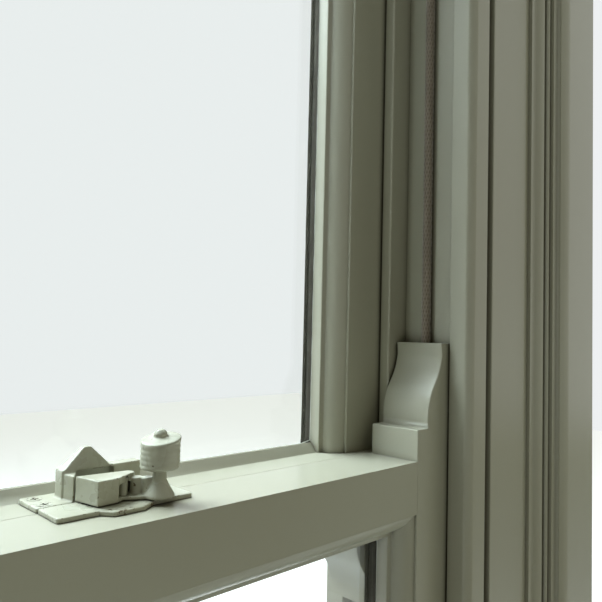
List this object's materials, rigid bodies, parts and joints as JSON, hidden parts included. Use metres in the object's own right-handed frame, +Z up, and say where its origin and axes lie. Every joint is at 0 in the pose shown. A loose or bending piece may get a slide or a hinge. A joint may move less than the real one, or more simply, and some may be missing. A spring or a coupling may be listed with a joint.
{
  "type": "sash window",
  "caption": "Vertically sliding box sash window in its timber frame, with horned sashes, cords, weights, pulleys and a knob fastener on the meeting rails.",
  "frame": {"origin": "centre line of the window at the lower sash's room face, on the underside of the sill", "axes": "+X to the right as seen from the room, +Y outdoors, +Z up"},
  "size_m": [0.9078, 0.191, 1.6172],
  "materials": {
    "painted_wood": "satin",
    "bare_wood": "matte",
    "glass": "gloss",
    "putty": "matte",
    "painted_brass": "satin",
    "pulley_brass": "satin",
    "screw_steel": "satin",
    "weight_iron": "matte",
    "cord": "matte"
  },
  "bodies": {
    "frame": {"architrave_head": "painted_wood", "architrave_left": "painted_wood", "architrave_right": "painted_wood", "back_lining_left": "bare_wood", "back_lining_right": "bare_wood", "frame_screws": "screw_steel", "head": "painted_wood", "inner_lining_head": "painted_wood", "inner_lining_left": "painted_wood", "inner_lining_right": "painted_wood", "lower_cord_left": "cord", "lower_cord_right": "cord", "lower_pulley_case_left": "pulley_brass", "lower_pulley_case_right": "pulley_brass", "outer_lining_head": "painted_wood", "outer_lining_left": "painted_wood", "outer_lining_right": "painted_wood", "parting_bead_head": "painted_wood", "parting_bead_left": "painted_wood", "parting_bead_right": "painted_wood", "parting_slips": "bare_wood", "pocket_pieces": "painted_wood", "pulley_stile_left": "painted_wood", "pulley_stile_right": "painted_wood", "sill": "painted_wood", "staff_bead_head": "painted_wood", "staff_bead_left": "painted_wood", "staff_bead_right": "painted_wood", "staff_bead_sill": "painted_wood", "upper_cord_left": "cord", "upper_cord_right": "cord", "upper_pulley_case_left": "pulley_brass", "upper_pulley_case_right": "pulley_brass"},
    "lower_sash": {"base_screws": "painted_brass", "fastener_base": "painted_brass", "lower_bottom_rail": "painted_wood", "lower_glass": "glass", "lower_meeting_rail": "painted_wood", "lower_putty": "putty", "lower_stile_left": "painted_wood", "lower_stile_right": "painted_wood"},
    "upper_sash": {"fastener_keep": "painted_brass", "keep_screws": "painted_brass", "upper_glass": "glass", "upper_meeting_rail": "painted_wood", "upper_putty": "putty", "upper_stile_left": "painted_wood", "upper_stile_right": "painted_wood", "upper_top_rail": "painted_wood"},
    "lever": {"fastener_knob": "painted_brass", "fastener_lever": "painted_brass"},
    "lower_wheel_left": {"lower_pulley_wheel_left": "pulley_brass"},
    "lower_weight_left": {"lower_weight_left": "weight_iron"},
    "lower_wheel_right": {"lower_pulley_wheel_right": "pulley_brass"},
    "lower_weight_right": {"lower_weight_right": "weight_iron"},
    "upper_wheel_left": {"upper_pulley_wheel_left": "pulley_brass"},
    "upper_weight_left": {"upper_weight_left": "weight_iron"},
    "upper_wheel_right": {"upper_pulley_wheel_right": "pulley_brass"},
    "upper_weight_right": {"upper_weight_right": "weight_iron"}
  },
  "joints": [
    {"name": "lower_sash_slide", "type": "slide", "parent": "frame", "child": "lower_sash", "axis": [0, 0, 1], "range_m": [0, 0.573], "deforming": ["lower_cord_left", "lower_cord_right"]},
    {"name": "upper_sash_slide", "type": "slide", "parent": "frame", "child": "upper_sash", "axis": [0, 0, 1], "range_m": [-0.577, 0], "deforming": ["upper_cord_left", "upper_cord_right"]},
    {"name": "lever_turn", "type": "hinge", "parent": "lower_sash", "child": "lever", "pos_m": [0.0015, 0.036, 0.77], "axis": [0, 0, 1], "range_deg": [-70, 0]},
    {"name": "lower_wheel_left_turn", "type": "hinge", "parent": "frame", "child": "lower_wheel_left", "pos_m": [-0.2893, 0.02175, 1.337], "axis": [0, 1, 0], "continuous": true},
    {"name": "lower_weight_left_slide", "type": "slide", "parent": "frame", "child": "lower_weight_left", "axis": [0, 0, 1], "range_m": [-0.573, 0]},
    {"name": "lower_wheel_right_turn", "type": "hinge", "parent": "frame", "child": "lower_wheel_right", "pos_m": [0.2893, 0.02175, 1.337], "axis": [0, 1, 0], "continuous": true},
    {"name": "lower_weight_right_slide", "type": "slide", "parent": "frame", "child": "lower_weight_right", "axis": [0, 0, 1], "range_m": [-0.573, 0]},
    {"name": "upper_wheel_left_turn", "type": "hinge", "parent": "frame", "child": "upper_wheel_left", "pos_m": [-0.2893, 0.07735, 1.337], "axis": [0, 1, 0], "continuous": true},
    {"name": "upper_weight_left_slide", "type": "slide", "parent": "frame", "child": "upper_weight_left", "axis": [0, 0, 1], "range_m": [0, 0.577]},
    {"name": "upper_wheel_right_turn", "type": "hinge", "parent": "frame", "child": "upper_wheel_right", "pos_m": [0.2893, 0.07735, 1.337], "axis": [0, 1, 0], "continuous": true},
    {"name": "upper_weight_right_slide", "type": "slide", "parent": "frame", "child": "upper_weight_right", "axis": [0, 0, 1], "range_m": [0, 0.577]}
  ],
  "couplings": [
    {"joint": "lower_wheel_left_turn", "follows": "lower_sash_slide", "rad_per_m": -40.816},
    {"joint": "lower_weight_left_slide", "follows": "lower_sash_slide", "ratio": -1},
    {"joint": "lower_wheel_right_turn", "follows": "lower_sash_slide", "rad_per_m": 40.816},
    {"joint": "lower_weight_right_slide", "follows": "lower_sash_slide", "ratio": -1},
    {"joint": "upper_wheel_left_turn", "follows": "upper_sash_slide", "rad_per_m": -40.816},
    {"joint": "upper_weight_left_slide", "follows": "upper_sash_slide", "ratio": -1},
    {"joint": "upper_wheel_right_turn", "follows": "upper_sash_slide", "rad_per_m": 40.816},
    {"joint": "upper_weight_right_slide", "follows": "upper_sash_slide", "ratio": -1}
  ]
}
